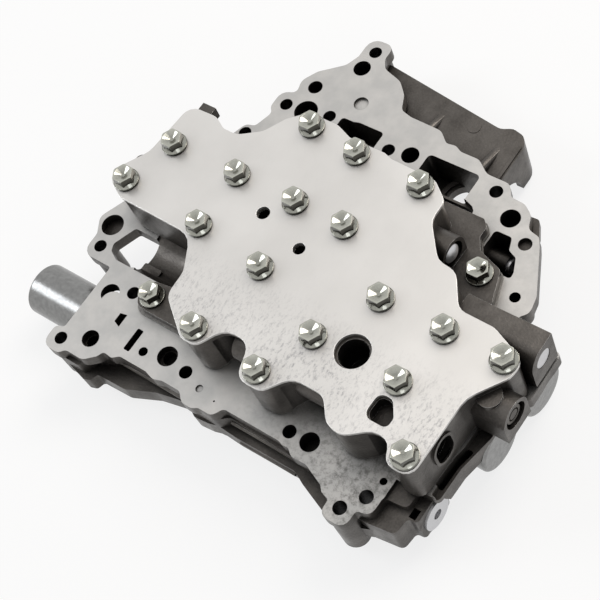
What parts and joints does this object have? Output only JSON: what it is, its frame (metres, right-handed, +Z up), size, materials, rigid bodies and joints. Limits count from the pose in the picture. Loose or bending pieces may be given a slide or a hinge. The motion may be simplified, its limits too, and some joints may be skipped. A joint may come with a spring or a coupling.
{
  "type": "transmission valve body",
  "caption": "Automatic-transmission valve body: cast main body with a machined deck, upper casting under a bolted cover plate, spool valves and solenoids.",
  "frame": {"origin": "on the lower body's underside, under the middle of the cover plate", "axes": "+X along the valve bores towards the pair of solenoids, +Y towards the rear shelf, +Z up out of the deck"},
  "size_m": [0.2713, 0.2328, 0.0748],
  "materials": {
    "cast_aluminium": "as-cast, with machined faces",
    "cover_steel": "satin sheet",
    "gasket": "fibre sheet",
    "sheet_steel": "satin",
    "zinc": "bright zinc plate",
    "spring_steel": "drawn wire and strip",
    "can_steel": "drawn can, nickel plate",
    "copper": "enamelled winding",
    "seal_rubber": "matt",
    "nose_aluminium": "turned",
    "ground_steel": "ground"
  },
  "bodies": {
    "housing": {"main_body": "cast_aluminium", "upper_body": "cast_aluminium", "lower_body": "cast_aluminium", "cover_plate": "cover_steel", "cover_gasket": "gasket", "separator_plate": "sheet_steel", "lower_separator": "sheet_steel", "cover_bolts": "zinc", "foot_bolts": "zinc", "lower_bolts": "zinc", "dowel_pins": "sheet_steel", "check_balls": "sheet_steel", "gallery_plug": "ground_steel", "regulator_spring": "spring_steel", "regulator_plug": "ground_steel", "regulator_clip": "spring_steel", "shift_spring": "spring_steel", "shift_plug": "ground_steel", "shift_clip": "spring_steel", "lockup_spring": "spring_steel", "lockup_plug": "ground_steel", "lockup_clip": "spring_steel", "relay_spring": "spring_steel", "relay_plug": "ground_steel", "relay_clip": "spring_steel", "modulator_spring": "spring_steel", "modulator_plug": "ground_steel", "modulator_clip": "spring_steel", "pilot_spring": "spring_steel", "pilot_can": "can_steel", "pilot_coil": "copper", "pilot_return_spring": "spring_steel", "pilot_nose": "nose_aluminium", "pilot_seals": "seal_rubber", "lockup_can": "can_steel", "lockup_coil": "copper", "lockup_return_spring": "spring_steel", "lockup_nose": "nose_aluminium", "lockup_seals": "seal_rubber", "shift_can": "can_steel", "shift_coil": "copper", "shift_return_spring": "spring_steel", "shift_nose": "nose_aluminium", "shift_seals": "seal_rubber"},
    "regulator_spool": {"regulator_valve": "ground_steel"},
    "shift_spool": {"shift_valve": "ground_steel"},
    "lockup_spool": {"lockup_valve": "ground_steel"},
    "relay_spool": {"relay_valve": "ground_steel"},
    "modulator_spool": {"modulator_valve": "ground_steel"},
    "pilot_spool": {"pilot_valve": "ground_steel"},
    "pilot_solenoid_plunger": {"pilot_plunger": "ground_steel"},
    "lockup_solenoid_plunger": {"lockup_plunger": "ground_steel"},
    "shift_solenoid_plunger": {"shift_plunger": "ground_steel"}
  },
  "joints": [
    {"name": "regulator_slide", "type": "slide", "parent": "housing", "child": "regulator_spool", "axis": [-1, 0, 0], "range_m": [0, 0.006], "stiffness_N_per_m": 1500, "springref_m": -0.004, "deforming": ["regulator_spring"]},
    {"name": "shift_slide", "type": "slide", "parent": "housing", "child": "shift_spool", "axis": [-1, 0, 0], "range_m": [0, 0.006], "stiffness_N_per_m": 1500, "springref_m": -0.004, "deforming": ["shift_spring"]},
    {"name": "lockup_slide", "type": "slide", "parent": "housing", "child": "lockup_spool", "axis": [-1, 0, 0], "range_m": [0, 0.006], "stiffness_N_per_m": 1500, "springref_m": -0.004, "deforming": ["lockup_spring"]},
    {"name": "relay_slide", "type": "slide", "parent": "housing", "child": "relay_spool", "axis": [-1, 0, 0], "range_m": [0, 0.006], "stiffness_N_per_m": 1500, "springref_m": -0.004, "deforming": ["relay_spring"]},
    {"name": "modulator_slide", "type": "slide", "parent": "housing", "child": "modulator_spool", "axis": [-1, 0, 0], "range_m": [0, 0.006], "stiffness_N_per_m": 1500, "springref_m": -0.004, "deforming": ["modulator_spring"]},
    {"name": "pilot_slide", "type": "slide", "parent": "housing", "child": "pilot_spool", "axis": [1, 0, 0], "range_m": [0, 0.004], "stiffness_N_per_m": 1500, "springref_m": -0.004, "deforming": ["pilot_spring"]},
    {"name": "pilot_plunger_slide", "type": "slide", "parent": "housing", "child": "pilot_solenoid_plunger", "axis": [-1, 0, 0], "range_m": [0, 0.002], "stiffness_N_per_m": 900, "springref_m": -0.002, "deforming": ["pilot_return_spring"]},
    {"name": "lockup_plunger_slide", "type": "slide", "parent": "housing", "child": "lockup_solenoid_plunger", "axis": [1, 0, 0], "range_m": [0, 0.002], "stiffness_N_per_m": 900, "springref_m": -0.002, "deforming": ["lockup_return_spring"]},
    {"name": "shift_plunger_slide", "type": "slide", "parent": "housing", "child": "shift_solenoid_plunger", "axis": [1, 0, 0], "range_m": [0, 0.002], "stiffness_N_per_m": 900, "springref_m": -0.002, "deforming": ["shift_return_spring"]}
  ]
}
